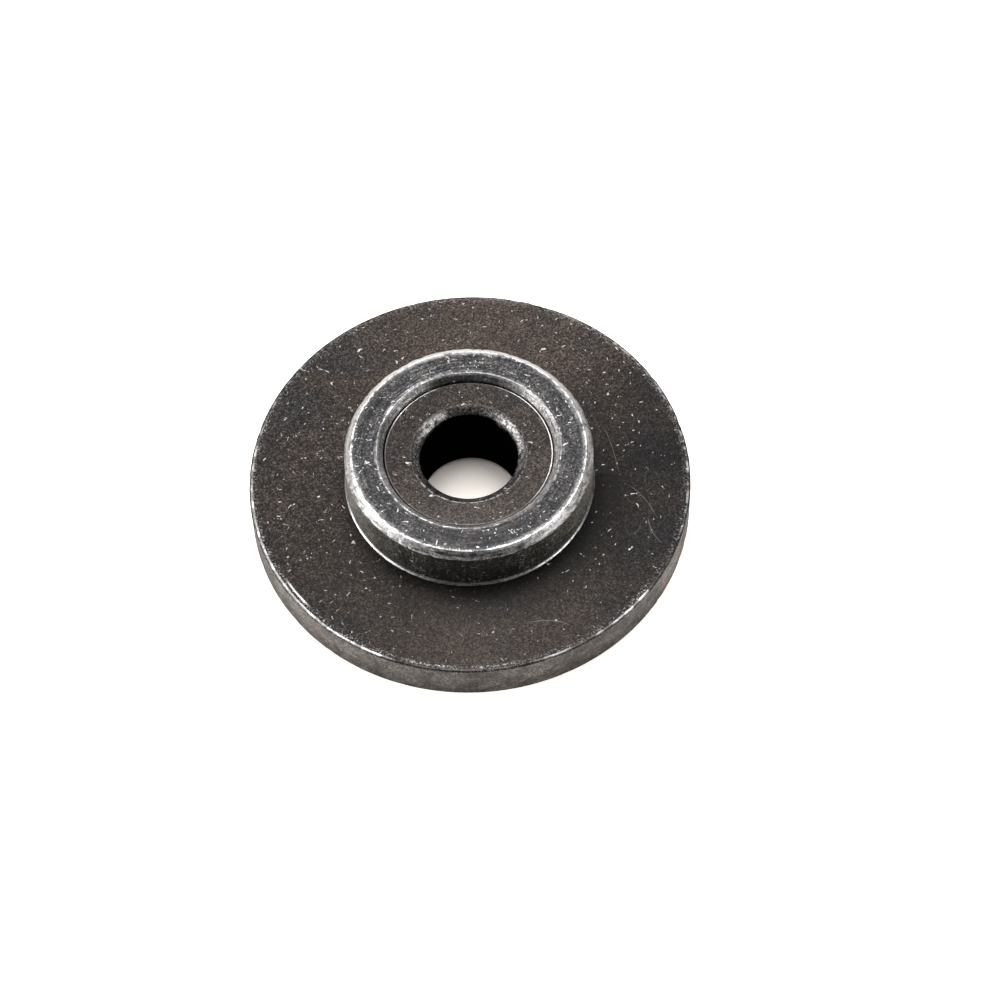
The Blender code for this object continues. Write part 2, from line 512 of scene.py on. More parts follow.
def disc_edge_wear_and_highlight(graph, grains, top, rim, gaps):
    """Bare metal on the disc's top edge, partly a painted highlight: a broken line, frayed inwards, and short
    lines inside it.
    """
    ragged = graph.minus(graph.noise(0.35 * MM, detail=3.0), 0.5)
    # Partly painted highlight: the line's strength round the wheel follows its wear and also where the
    # rounded edge catches the light.
    worn_round = graph.sectors([(0, 0.3), (20, 0.22), (47, 0.3), (60, 0.14), (100, 0.08), (140, 0.1),
            (160, 0.3), (178, 0.45), (195, 0.62), (248, 0.7), (249.5, 0.03), (262, 0.06), (274, 0.05),
            (286, 0.04), (289, 0.55), (294, 0.35), (296, 0.05), (302, 0.05), (304, 0.65), (306, 0.1),
            (311, 0.72), (320, 0.82), (323, 0.05), (335, 0.05), (346, 0.22)])
    # Painted highlight: the line moves outwards on the rounded edge from the front-left to the front-right,
    # where the rounding's highlight lies.
    outward = graph.sectors([(0, 0.0), (182, 0.0), (210, 0.55), (230, 1.0), (330, 1.0), (355, 0.0)])
    line_radius = graph.plus(graph.times(outward, 0.10 * MM), rim - 0.24 * MM)
    line = graph.near_edge(line_radius, top, 0.17 * MM, 0.05 * MM, graph.times(ragged, 0.14 * MM))
    frayed = graph.times(graph.near_edge(rim - 0.15 * MM, top, 0.80 * MM, 0.20 * MM,
            graph.times(ragged, 0.35 * MM)), graph.worn(0.10, grains.ragged))
    second_round = graph.sectors([(0, 0.0), (210.5, 0.0), (214, 1.0), (219, 1.0), (222, 0.0)])
    second = graph.times(graph.near_edge(rim - 0.63 * MM, top, 0.14 * MM, 0.03 * MM,
            graph.times(ragged, 0.12 * MM)), second_round)
    inside_round = graph.sectors([(0, 0.1), (250, 0.0), (254, 0.42), (263, 0.32), (267, 0.05), (272, 0.36),
            (279, 0.25), (284, 0.05), (292, 0.0)])
    inside = graph.times(graph.near_edge(rim - 0.48 * MM, top, 0.20 * MM, 0.05 * MM,
            graph.times(ragged, 0.35 * MM)), graph.times(inside_round, graph.worn(0.24, grains.ragged)))
    return graph.any_of(graph.times(line, worn_round, gaps),
            graph.times(frayed, graph.blend(worn_round, 0.12, 0.40)), graph.times(second, 0.55), inside)


def disc_scratches(graph):
    """Five fine scratches in the flat top."""
    return graph.any_of(graph.arc_mark(20.9, -5.1, 4.1, 178, 228, 0.06),
            graph.arc_mark(9.6, -7.7, 8.4, 18, 50, 0.05), graph.arc_mark(6.6, -20.9, 5.0, 60, 112, 0.06),
            graph.arc_mark(-14.0, -3.6, 28.5, 7, 19, 0.04),
            graph.times(graph.arc_mark(-30.4, -14.2, 18.0, 25, 39, 0.04), 0.6))


def disc_fibres(graph):
    """Two curved fibres lying near the edge."""
    return graph.any_of(graph.arc_mark(-14.6, 15.6, 2.9, 222, 258, 0.07),
            graph.arc_mark(-14.9, 10.6, 2.5, 52, 82, 0.06))


def disc_steel(radii, heights):
    """Matt grainy brown-black oxide, greyer in patches, worn bright along the top edge, with painted
    reflection and shade on the top and outer wall and a painted highlight in the edge's line.
    """
    graph = Graph("disc_oxide_steel_painted_light")
    top, rim = heights[-1], radii[-1]
    grains = Crystals(graph, 0.95)
    on_wall = graph.smooth(graph.height, top - 0.12 * MM, top - 0.32 * MM)
    grain_round = graph.sectors([(0, 0.78), (40, 0.76), (90, 0.64), (130, 0.76), (160, 0.94), (190, 0.94),
            (225, 0.76), (265, 0.5), (300, 0.62), (330, 0.84)])
    oxide = graph.scaled(graph.mix(on_wall, plate_oxide_and_shading(graph, grains, rim), rim_wall_oxide_and_reflection(graph)),
            graph.math("POWER", grains.level, graph.blend(on_wall, grain_round, 0.5)))
    gaps = edge_gaps(graph)
    bare = disc_edge_wear_and_highlight(graph, grains, top, rim, gaps)
    dusty_round = graph.sectors([(0, 1.0), (190, 1.0), (215, 0.75), (260, 0.45), (300, 0.55), (335, 1.0)])
    pale = graph.any_of(graph.times(dust(graph, 1.05, 0.013), dusty_round),
            graph.times(disc_scratches(graph), 0.06), graph.times(disc_fibres(graph), gaps, 0.50))
    colour = graph.mix(pale, graph.mix(bare, oxide, bare_steel(graph, 0.5)), DUST)
    oxide_metal = graph.blend(on_wall, 0.80, 0.35)
    metallic = graph.times(graph.blend(bare, oxide_metal, 1.0), graph.without(pale))
    roughness = graph.blend(bare, graph.plus(graph.times(grains.fine, 0.3), 0.38), 0.42)
    bump = graph.plus(grains.fine, grains.patch)
    return graph.finish(colour, metallic, roughness, bump, 0.03 * MM)


class HubPlaces:
    """The hub's corners, the zones between them and the noises that its wear shares."""

    def __init__(self, graph, radii, heights, cone_foot, chamfer_foot):
        self.top, self.shoulder = heights[-1], heights[2]
        self.land_inner, self.land_outer, self.wall = radii[1], radii[-3], radii[-2]
        self.chamfer_foot = chamfer_foot
        self.ragged = graph.minus(graph.noise(0.35 * MM, detail=4.0, roughness=0.7), 0.5)
        self.coarse = graph.noise(0.45 * MM, detail=3.0, roughness=0.6,
                place=graph.shifted(0.01, 0.03, 0.02))
        self.patches = graph.blend(graph.smooth(self.coarse, 0.36, 0.60), 0.5, 1.15)
        self.in_cone = graph.times(graph.smooth(graph.radius, self.land_inner + 0.01 * MM,
                self.land_inner - 0.05 * MM), graph.smooth(graph.height, cone_foot - 0.40 * MM,
                cone_foot - 0.20 * MM))
        lower = graph.smooth(graph.height, self.chamfer_foot + 0.02 * MM, self.chamfer_foot - 0.08 * MM)
        self.on_wall = graph.times(lower, graph.smooth(graph.radius, self.wall - 0.5 * MM,
                self.wall - 0.2 * MM))
        self.on_chamfer = graph.times(graph.smooth(graph.radius, self.land_outer - 0.02 * MM,
                self.land_outer + 0.05 * MM), graph.without(lower))


def turning_marks(graph, arcs):
    """How far the fine arcs left by turning brighten or darken the oxide."""
    arcs_round = graph.sectors([(0, 2.7), (90, 3.2), (180, 2.7), (230, 2.2), (310, 2.2)])
    rings = graph.noise(0.17 * MM, detail=1.0, place=graph.turned_place(0.30 * MM))
    rings_round = graph.sectors([(0, 1.0), (60, 1.4), (95, 3.2), (150, 3.2), (190, 1.4), (230, 0.8),
            (330, 1.0)])
    return graph.math("EXPONENT", graph.plus(graph.times(graph.minus(arcs, 0.5), arcs_round),
            graph.times(graph.minus(rings, 0.5), rings_round)))


def land_oxide(graph, blotch):
    """The blue-grey oxide of the hub's land, paler in blotches."""
    bluish = graph.mix(graph.smooth(blotch, 0.36, 0.52), LAND_BLUE, LAND_OXIDE)
    land = graph.mix(graph.smooth(blotch, 0.50, 0.70), bluish, LAND_PALE)
    land_round = graph.sectors([(0, 1.06), (60, 1.06), (90, 1.08), (120, 1.1), (150, 0.82), (180, 0.93),
            (210, 0.88), (240, 0.98), (270, 0.92), (300, 0.85), (330, 0.9)])
    return graph.scaled(land, land_round)


def hub_wall_oxide_and_shading(graph, blotch):
    """The brown-grey oxide of the hub's side wall, with painted light and shade: pale on the left and right,
    darker at the back and dark at the front.
    """
    # Painted light and shade: the wall's tone round the wheel follows how the lights fall on it.
    wall_round = graph.sectors([(0, 0.66), (90, 0.35), (180, 0.95), (195, 1.0), (210, 0.63), (225, 0.28),
            (240, 0.13), (255, 0.05), (285, 0.05), (300, 0.115), (315, 0.28), (330, 0.56), (345, 0.8)])
    wall_tone = graph.times(wall_round, WALL_SHADING_SPAN, graph.plus(blotch, 0.5))
    return graph.scaled(WALL_OXIDE, wall_tone)


def cone_oxide_and_shading(graph):
    """The thin oxide of the lead-in cone, streaked round the axis, with painted light and shade: lighter or
    darker round the wheel as light falls on it, darkest at the back.
    """
    # Painted light and shade: the cone's tone round the wheel follows how the lights fall on it and reflect
    # in it.
    cone_round = graph.sectors([(0, 0.42), (20, 0.24), (45, 0.36), (60, 0.14), (72, 0.058), (90, 0.05),
            (112, 0.045), (122, 0.13), (135, 0.23), (150, 0.2), (165, 0.12), (180, 0.15), (200, 0.36),
            (220, 0.3), (240, 0.26), (270, 0.2), (300, 0.45), (330, 0.36)])
    streaks = graph.noise(0.35 * MM, detail=3.0, roughness=0.6, place=graph.turned_place(0.9 * MM))
    return graph.scaled(THIN_OXIDE, graph.times(cone_round, graph.plus(streaks, 0.5)))


def hub_oxide_and_shading(graph, places, grains, arcs):
    """The oxides of the hub's land, wall and cone, with their grain, and the painted light and shade of the
    wall and the cone.
    """
    blotch = graph.noise(1.9 * MM, detail=3.0, roughness=0.55, place=graph.shifted(0.03, 0, 0.01))
    front_round = graph.sectors([(0, 1.0), (190, 1.0), (225, 0.85), (262, 0.55), (290, 0.6), (330, 1.0)])
    wall_grain = graph.sectors([(0, 0.5), (200, 0.5), (230, 0.8), (250, 1.3), (290, 1.3), (315, 0.7),
            (340, 0.5)])
    strength = graph.blend(places.on_wall, graph.times(front_round, 0.72), wall_grain)
    strength = graph.blend(graph.any_of(places.on_chamfer, places.in_cone), strength, 0.5)
    oxide = graph.mix(places.on_wall, land_oxide(graph, blotch), hub_wall_oxide_and_shading(graph, blotch))
    oxide = graph.mix(places.in_cone, oxide, cone_oxide_and_shading(graph))
    return graph.scaled(graph.scaled(oxide, graph.math("POWER", grains.level, strength)),
            turning_marks(graph, arcs))


def chamfer_wear(graph, places, scored):
    """The bare band on the chamfer, ragged and scored."""
    band_round = graph.sectors([(0, 0.5), (15, 0.47), (30, 0.52), (45, 0.62), (60, 0.8), (80, 0.95),
            (120, 0.92), (140, 0.72), (165, 0.68), (180, 0.68), (198, 0.84), (212, 0.92), (228, 0.85),
            (240, 0.42), (255, 0.2), (288, 0.22), (300, 0.46), (316, 0.85), (330, 0.46), (345, 0.55)])
    above_foot = graph.smooth(graph.plus(graph.height, graph.times(places.ragged, 0.45 * MM)),
            places.chamfer_foot - 0.06 * MM, places.chamfer_foot + 0.06 * MM)
    return graph.times(places.on_chamfer, above_foot, graph.worn(band_round, scored, 0.08))


def halo_wear(graph, places):
    """A thin bare border on the land, along the chamfer."""
    halo_round = graph.sectors([(0, 0.5), (30, 0.8), (50, 0.35), (60, 0.12), (75, 0.6), (90, 1.0),
            (120, 0.7), (145, 0.2), (180, 0.15), (200, 0.5), (215, 0.45), (240, 0.25), (270, 0.1),
            (300, 0.45), (330, 0.55)])
    halo = graph.smooth(graph.plus(graph.radius, graph.times(places.ragged, 0.55 * MM)),
            places.land_outer - 0.60 * MM, places.land_outer + 0.05 * MM)
    return graph.times(halo, graph.smooth(graph.height, places.top - 0.10 * MM, places.top - 0.03 * MM),
            graph.times(halo_round, graph.times(places.patches, 0.60)))


def rub_wear(graph, places, scored):
    """Rubbed patches on the land, along the lead-in cone."""
    rub_round = graph.sectors([(0, 0.35), (25, 0.3), (60, 0.12), (110, 0.2), (125, 0.55), (150, 0.65),
            (163, 0.2), (185, 0.35), (205, 0.15), (240, 0.12), (330, 0.12)])
    rub = graph.smooth(graph.plus(graph.radius, graph.times(scored, 0.9 * MM)),
            places.land_inner + 0.95 * MM, places.land_inner + 0.55 * MM)
    rub = graph.times(rub, rub_round, graph.smooth(scored, 0.46, 0.60))
    return graph.times(rub, graph.smooth(graph.radius, places.land_inner - 0.25 * MM,
            places.land_inner + 0.05 * MM))


def hub_lines(graph, places):
    """Bright lines: the hub's top edge, the chamfer's foot, the lead-in's edge and the root; the root's is
    partly a painted highlight.
    """
    line_round = graph.sectors([(0, 0.8), (90, 1.0), (232, 1.0), (242, 0.7), (262, 0.4), (274, 0.25),
            (281, 0.85), (300, 1.0), (320, 1.0), (340, 0.8)])
    edge_line = graph.times(graph.near_edge(places.land_outer + 0.02 * MM, places.top - 0.03 * MM,
            0.26 * MM, 0.08 * MM, graph.times(places.ragged, 0.62 * MM)), line_round)
    foot_round = graph.sectors([(0, 0.3), (20, 0.1), (170, 0.1), (190, 0.6), (225, 0.9), (250, 0.8),
            (263, 0.35), (280, 0.32), (300, 0.5), (330, 0.6), (350, 0.4)])
    foot_line = graph.times(graph.near_edge(places.wall, places.chamfer_foot, 0.17 * MM, 0.05 * MM,
            graph.times(places.ragged, 0.22 * MM)), graph.times(foot_round, places.patches))
    inner_round = graph.sectors([(0, 0.4), (20, 0.6), (45, 0.45), (70, 0.22), (110, 0.25), (132, 0.4),
            (146, 0.6), (155, 0.25), (166, 0.25), (180, 0.6), (190, 0.65), (202, 0.65), (220, 0.95),
            (240, 1.0), (260, 0.95), (270, 0.6), (300, 0.45), (330, 0.45), (345, 0.5)])
    inner_line = graph.near_edge(places.land_inner - 0.03 * MM, places.top - 0.03 * MM, 0.24 * MM,
            0.03 * MM, graph.times(places.ragged, 0.50 * MM))
    inner_line = graph.times(inner_line, graph.times(inner_round, places.patches))
    # Partly painted highlight: the bare steel along the root fillet is strong on the sides and faint at the
    # front, following where the fillet catches the light.
    root_round = graph.sectors([(0, 1.0), (90, 0.5), (170, 1.0), (230, 1.0), (242, 0.88), (255, 0.28),
            (270, 0.22), (285, 0.48), (300, 0.98), (345, 1.0)])
    root_wear_and_highlight = graph.times(graph.near_edge(places.wall + 0.08 * MM, places.shoulder + 0.06 * MM, 0.33 * MM,
            0.22 * MM), root_round)
    return edge_line, foot_line, inner_line, root_wear_and_highlight


def worn_steel(graph, places, edge_line, foot_line):
    """The bare steel's colour on the hub, with painted highlight and shade: brighter at the back, and lighter
    or duller round the wheel on the chamfer.
    """
    # Painted highlight: the steel is brightened at the back, where the lights reflect in it.
    back_highlight_round = graph.sectors([(0, 0.1), (40, 0.4), (60, 1.2), (80, 1.6), (125, 1.4), (155, 0.4),
            (195, 0.1), (228, 0.1), (300, 0.0)])
    # Painted light and shade: the chamfer's steel is lighter or darker round the wheel as the lights reflect
    # in it.
    painted_chamfer_light_round = graph.sectors([(0, 0.88), (40, 0.92), (70, 1.22), (125, 1.26), (145, 0.98), (180, 0.9),
            (195, 0.52), (210, 0.5), (226, 0.56), (240, 0.76), (255, 1.0), (290, 1.0), (300, 0.95),
            (315, 0.6), (330, 0.85)])
    painted_light_zone = graph.times(places.on_chamfer, graph.without(graph.any_of(edge_line, foot_line)))
    by_foot = graph.smooth(graph.plus(graph.height, graph.times(places.ragged, 0.50 * MM)),
            places.chamfer_foot + 0.34 * MM, places.chamfer_foot + 0.04 * MM)
    # The chamfer's painted light fades towards its foot, more on some sides.
    fade_round = graph.sectors([(0, 0.45), (40, 0.45), (65, 0.3), (90, 0.15), (120, 0.25), (150, 0.55),
            (185, 0.5), (200, 0.1), (230, 0.0), (330, 0.1)])
    painted_chamfer_light = graph.times(painted_chamfer_light_round, graph.without(graph.times(by_foot, fade_round)))
    return graph.scaled(bare_steel(graph, back_highlight_round), graph.blend(painted_light_zone, 1.0, painted_chamfer_light))


def hub_steel(radii, heights, cone_foot, chamfer_foot):
    """Smoother grey oxide with faint turning arcs on the land, a bare chamfer and a thinly oxidised cone,
    with painted light and shade on the wall, the cone and the chamfer's steel, and a partly painted highlight
    in the root's line.
    """
    graph = Graph("turned_hub_steel")
    places = HubPlaces(graph, radii, heights, cone_foot, chamfer_foot)
    grains = Crystals(graph, 1.0)
    arcs = graph.noise(0.22 * MM, detail=2.0, roughness=0.6, place=graph.turned_place(1.2 * MM))
    brushed = graph.noise(0.16 * MM, detail=2.0, roughness=0.6, place=graph.turned_place(0.8 * MM))
    scored = graph.plus(graph.times(places.coarse, 0.4), graph.times(brushed, 0.6))
    edge_line, foot_line, inner_line, root_wear_and_highlight = hub_lines(graph, places)
    bare = graph.any_of(chamfer_wear(graph, places, scored), edge_line, halo_wear(graph, places),
            rub_wear(graph, places, scored), foot_line, inner_line, root_wear_and_highlight)
    whiskers = graph.times(graph.hairs(1.1 * MM, 0.022, 0.68, 0.061), 0.55)
    pale = graph.any_of(dust(graph, 1.9, 0.023), whiskers,
            graph.times(dust(graph, 2.8, 0.037), graph.times(places.on_wall, 0.6)))
    colour = graph.mix(pale, graph.mix(bare, hub_oxide_and_shading(graph, places, grains, arcs),
            worn_steel(graph, places, edge_line, foot_line)), DUST)
    oxide_metal = graph.blend(places.in_cone, graph.blend(places.on_wall, 0.80, 0.30), 0.50)
    metallic = graph.times(graph.blend(bare, oxide_metal, 1.0), graph.without(pale))
    oxide_roughness = graph.blend(places.on_wall, 0.34, 0.50)
    oxide_roughness = graph.plus(graph.times(grains.fine, 0.22), oxide_roughness)
    bare_roughness = graph.blend(root_wear_and_highlight, 0.46, 0.36)
    roughness = graph.blend(bare, oxide_roughness, bare_roughness)
    bump = graph.plus(arcs, grains.fine)
    return graph.finish(colour, metallic, roughness, bump, 0.014 * MM)


def mouth_oxide_and_shading(graph, coarse, bore):
    """The thin, rubbed oxide round the bore's mouth, with painted light and shade: lighter or darker round
    the bore as light falls on it, and darker down towards the bore.
    """
    # Painted light and shade: the mouth's tone round the bore follows how the lights fall on it, darkest at
    # the back and the front.
    mouth_round = graph.sectors([(0, 0.42), (20, 0.26), (40, 0.52), (52, 0.32), (62, 0.11), (78, 0.06),
            (106, 0.06), (118, 0.24), (140, 0.3), (160, 0.15), (185, 0.13), (230, 0.06), (330, 0.12)])
    # Painted shade: the mouth darkens as it curves down into the bore.
    upper = graph.smooth(graph.radius, bore - 0.02 * MM, bore + 0.30 * MM)
    mouth_tone = graph.times(mouth_round, graph.blend(upper, 0.35, 1.15),
            graph.blend(graph.smooth(coarse, 0.38, 0.56), 0.40, 1.35))
    return graph.scaled(THIN_OXIDE, mouth_tone)


def sleeve_wear(graph, coarse, ragged, top, mouth, outer):
    """Bare metal on the sleeve's outer edge and beside the bore's mouth."""
    rim_line = graph.near_edge(outer - 0.04 * MM, top - 0.04 * MM, 0.13 * MM, 0.07 * MM)
    rim_round = graph.sectors([(0, 0.9), (20, 1.0), (50, 1.0), (64, 0.4), (76, 0.05), (108, 0.05),
            (118, 0.6), (145, 0.9), (162, 0.25), (180, 0.1), (200, 0.1), (220, 0.1), (310, 0.1), (330, 0.5),
            (345, 0.8)])
    lip_round = graph.sectors([(0, 0.25), (40, 0.1), (200, 0.1), (222, 0.6), (300, 0.6), (320, 0.25)])
    lip = graph.times(graph.near_edge(mouth + 0.22 * MM, top, 0.16 * MM, 0.03 * MM, ragged),
            graph.times(graph.smooth(coarse, 0.45, 0.60), lip_round))
    flare_round = graph.sectors([(0, 0.25), (8, 0.0), (118, 0.0), (134, 0.6), (141, 1.0), (145, 0.8),
            (152, 0.0), (330, 0.0), (347, 0.35)])
    flare = graph.smooth(graph.plus(graph.radius, graph.times(coarse, 0.9 * MM)), mouth + 0.75 * MM,
            mouth + 0.40 * MM)
    return graph.any_of(graph.times(rim_line, rim_round), lip,
            graph.times(flare, flare_round, graph.times(graph.smooth(coarse, 0.40, 0.60), 0.6)))


def sleeve_steel(radii, heights):
    """Matt brown-black oxide, bare on the sleeve's outer edge and thin round the bore's mouth, with painted
    light and shade round the mouth.
    """
    graph = Graph("sleeve_oxide_steel_painted_light")
    top = heights[-1]
    bore, mouth, outer = radii[0], radii[-3], radii[-1]
    grains = Crystals(graph, 0.68)
    grey = graph.smooth(graph.noise(5 * MM, detail=2.0), 0.50, 0.72)
    oxide = graph.mix(graph.times(grains.tint, 0.4), SLEEVE_OXIDE, COOL_OXIDE)
    oxide = graph.mix(grey, oxide, GREY_OXIDE)
    tone_round = graph.sectors([(0, 0.44), (45, 0.57), (90, 0.51), (135, 0.43), (180, 0.44), (225, 0.7),
            (270, 1.0), (315, 0.61)])
    oxide = graph.scaled(oxide, graph.times(tone_round, TONE_SPAN))
    coarse = graph.noise(0.45 * MM, detail=3.0, roughness=0.6, place=graph.shifted(0.02, 0.05, 0))
    ragged = graph.times(graph.minus(coarse, 0.5), 0.8 * MM)
    in_mouth = graph.smooth(graph.plus(graph.radius, ragged), mouth + 0.16 * MM, mouth - 0.14 * MM)
    oxide = graph.mix(in_mouth, oxide, mouth_oxide_and_shading(graph, coarse, bore))
    grain_round = graph.sectors([(0, 1.0), (190, 1.0), (230, 0.8), (270, 0.62), (310, 0.8), (345, 1.0)])
    oxide = graph.scaled(oxide, graph.math("POWER", grains.level, grain_round))
    bare = sleeve_wear(graph, coarse, ragged, top, mouth, outer)
    pale = dust(graph, 0.9, 0.053)
    colour = graph.mix(pale, graph.mix(bare, oxide, bare_steel(graph, 1.0)), DUST)
    metallic = graph.times(graph.blend(bare, 0.80, 1.0), graph.without(pale))
    roughness = graph.blend(bare, graph.plus(graph.times(grains.fine, 0.3), 0.38), 0.42)
    bump = graph.plus(grains.fine, grains.patch)
    return graph.finish(colour, metallic, roughness, bump, 0.03 * MM)


def bore_steel(mouth_height):
    """The axle bore's dark oxide, made near black and without reflection as painted shade, faintly streaked
    and scraped at its mouth.
    """
    graph = Graph("bore_painted_shade_steel")
    # Painted shade: no reflection from the bore's wall, so that it stays dark as shade.
    graph.shader.inputs["Specular IOR Level"].default_value = 0.0
    streaks = graph.noise(0.5 * MM, detail=3.0)
    # Painted shade: the wall's near-black colour stands for the shade down the bore.
    bore_shade = graph.mix(streaks, BORE_SHADE_DARK, BORE_SHADE_PALE)
    below = graph.minus(mouth_height, graph.height)
    bright_round = graph.sectors([(0, 0.0), (14, 0.15), (30, 0.35), (50, 0.7), (56, 0.0), (120, 0.0),
            (140, 0.3), (160, 0.25), (185, 0.0)])
    ragged = graph.plus(below, graph.times(graph.noise(0.4 * MM, detail=3.0), 1.6 * MM))
    worn = graph.times(graph.smooth(ragged, 1.35 * MM, 0.75 * MM), bright_round)
    colour = graph.mix(worn, bore_shade, BORE_SCRAPED)
    roughness = graph.plus(graph.times(streaks, 0.2), 0.6)
    return graph.finish(colour, 0.0, roughness, streaks, 0.01 * MM)


# ---------------------------------------------------------------- the wheel's pieces

def make_disc():
    """The flange disc: a sheared, rounded rim with nicks, on a slightly uneven plate."""
    radii, heights = corner_values("flange_disc")
    seat, rim, top = radii[0], radii[-1], heights[-1]
    edge = 0.7 * heights[1]
    soft = 0.07 * MM
    corners = [(seat, top, 0.0), (rim - edge, top, soft), (rim, top - edge, soft), (rim, edge, soft),
            (rim - edge, 0.0, soft), (seat, 0.0, 0.0)]
    hub_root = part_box("hub_collar")[1].x

    def longest(point):
        hidden = point.x < hub_root - 0.5 * MM or point.y < 0.01 * MM
        return 1.0 * MM if hidden else 0.22 * MM

    def shaping(radius, height, angle):
        dr, dz = nicks(radius, height, angle, edge=(rim, top), inward=(-0.75, -0.65), count=90, seed=11,
                depth=0.08 * MM, width=0.50 * MM, reach=0.20 * MM)
        er, ez = nicks(radius, height, angle, edge=(rim, 0.0), inward=(-0.8, 0.6), count=40, seed=12,
                depth=0.08 * MM, width=0.50 * MM, reach=0.20 * MM)
        sunk = np.abs(waves(radius, height, angle, size=2.6 * MM, seed=1)) * 0.010 * MM
        on_rim = np.clip((radius - (rim - 0.35 * MM)) / (0.35 * MM), 0.0, 1.0)
        band = np.abs(waves(radius, height, angle, size=0.8 * MM, seed=3)) * 0.010 * MM
        inner = np.clip((radius - seat) / (1.0 * MM), 0.0, 1.0)
        on_top = (height > top / 2) & (radius < rim - 0.2 * MM)
        radius = radius + dr + er - on_rim * band
        height = height + dz + ez - np.where(on_top, sunk * inner, 0.0)
        return radius, height

    piece = lathe("flange_disc_worn", refined(rounded_outline(corners), longest), shaping)
    stand_for(piece, "flange_disc", "roller", disc_steel(radii, heights))


def make_hub():
    """The hub collar: chamfered and nicked rim, land, lead-in cone, fine root fillet and hidden spigot."""
    radii, heights = corner_values("hub_collar")
    bore, lead_in, spigot_low, spigot, land_outer, wall, root = radii
    low, spigot_foot, shoulder, top = heights[0], heights[1], heights[2], heights[-1]
    cone_foot, chamfer_foot = highest("hub_collar", bore), highest("hub_collar", wall)
    corners = [(lead_in, top, 0.07 * MM), (land_outer, top, 0.06 * MM), (wall, chamfer_foot, 0.12 * MM),
            (wall, shoulder + 0.20 * MM, 0.10 * MM), (root, shoulder, 0.0), (spigot, shoulder, 0.0),
            (spigot, spigot_foot, 0.0), (spigot_low, low, 0.05 * MM), (bore, low, 0.05 * MM),
            (bore, cone_foot, 0.04 * MM)]

    def longest(point):
        hidden = point.y < shoulder + 0.01 * MM or point.x < bore + 0.01 * MM
        return 1.2 * MM if hidden else 0.16 * MM

    def shaping(radius, height, angle):
        dr, dz = nicks(radius, height, angle, edge=(land_outer, top), inward=(-0.5, -0.85), count=110,
                seed=21, depth=0.09 * MM, width=0.35 * MM, reach=0.16 * MM)
        er, ez = nicks(radius, height, angle, edge=(wall, chamfer_foot), inward=(-0.9, -0.3), count=140,
                seed=22, depth=0.10 * MM, width=0.35 * MM, reach=0.18 * MM)
        gr, gz = nicks(radius, height, angle, edge=(lead_in, top), inward=(0.5, -0.85), count=70, seed=23,
                depth=0.07 * MM, width=0.35 * MM, reach=0.14 * MM)
        rough = np.abs(waves(radius, height, angle, size=1.4 * MM, seed=4)) * 0.006 * MM
        on_land = height > top - 0.01 * MM
        return radius + dr + er + gr, height + dz + ez + gz - np.where(on_land, rough, 0.0)

    piece = lathe("hub_collar_worn", refined(rounded_outline(corners), longest), shaping)
    stand_for(piece, "hub_collar", "roller",
            hub_steel(radii, heights, cone_foot, chamfer_foot))


def make_sleeve():
    """The sleeve: flat ring ends, broken outer edges and a rounded, worn mouth at each end of the bore."""
    radii, heights = corner_values("bearing_sleeve")
    bore, back_mouth, mouth, edge_in, outer = radii
    top = heights[-1]
    edge, back_depth, mouth_height = heights[1], heights[2], highest("bearing_sleeve", bore)
    fine_edge = 0.6 * edge
    corners = [(mouth, top, 0.30 * MM), (outer - fine_edge, top, 0.03 * MM),
            (outer, top - fine_edge, 0.03 * MM), (outer, edge, 0.04 * MM), (edge_in, 0.0, 0.04 * MM),
            (back_mouth, 0.0, 0.12 * MM), (bore, back_depth, 0.05 * MM), (bore, mouth_height, 0.08 * MM)]

    def longest(point):
        return 0.14 * MM if point.y > top - 1.2 * MM and point.x < outer - 0.01 * MM else 0.8 * MM

    def shaping(radius, height, angle):
        dr, dz = nicks(radius, height, angle, edge=(mouth - 0.1 * MM, top - 0.1 * MM), inward=(0.7, -0.7),
                count=60, seed=31, depth=0.05 * MM, width=0.40 * MM, reach=0.15 * MM)
        rough = np.abs(waves(radius, height, angle, size=1.6 * MM, seed=5)) * 0.008 * MM
        on_face = height > top - 0.01 * MM
        return radius + dr, height + dz - np.where(on_face, rough, 0.0)

    piece = lathe("bearing_sleeve_worn", refined(rounded_outline(corners), longest), shaping)
    stand_for(piece, "bearing_sleeve", "sleeve", sleeve_steel(radii, heights))
    piece.data.materials.append(bore_steel(mouth_height))
    for face in piece.data.polygons:
        if face.center.xy.length < bore + 0.02 * MM:
            face.material_index = 1


# ---------------------------------------------------------------- stage

# The table glows more round the wheel than where it is seen through the bore
TABLE_COLOUR = (0.94, 0.87, 0.81, 1.0)
TABLE_GLOW_COLOUR = (1.0, 0.94, 0.89, 1.0)
TABLE_ROUGHNESS = 0.9
GLOW_FROM = 0.8            # of the wheel's half width
GLOW_THROUGH_BORE = 0.070
GLOW_ROUND_WHEEL = 0.90

# The room's brightness, and its darker side, which lies towards -Y
ROOM_LEVEL = 2.5
DARK_SIDE_LEVEL = 0.12
DARK_SIDE_ELEVATION = math.radians(28)
DARK_SIDE_INNER = math.radians(20)
DARK_SIDE_OUTER = math.radians(62)


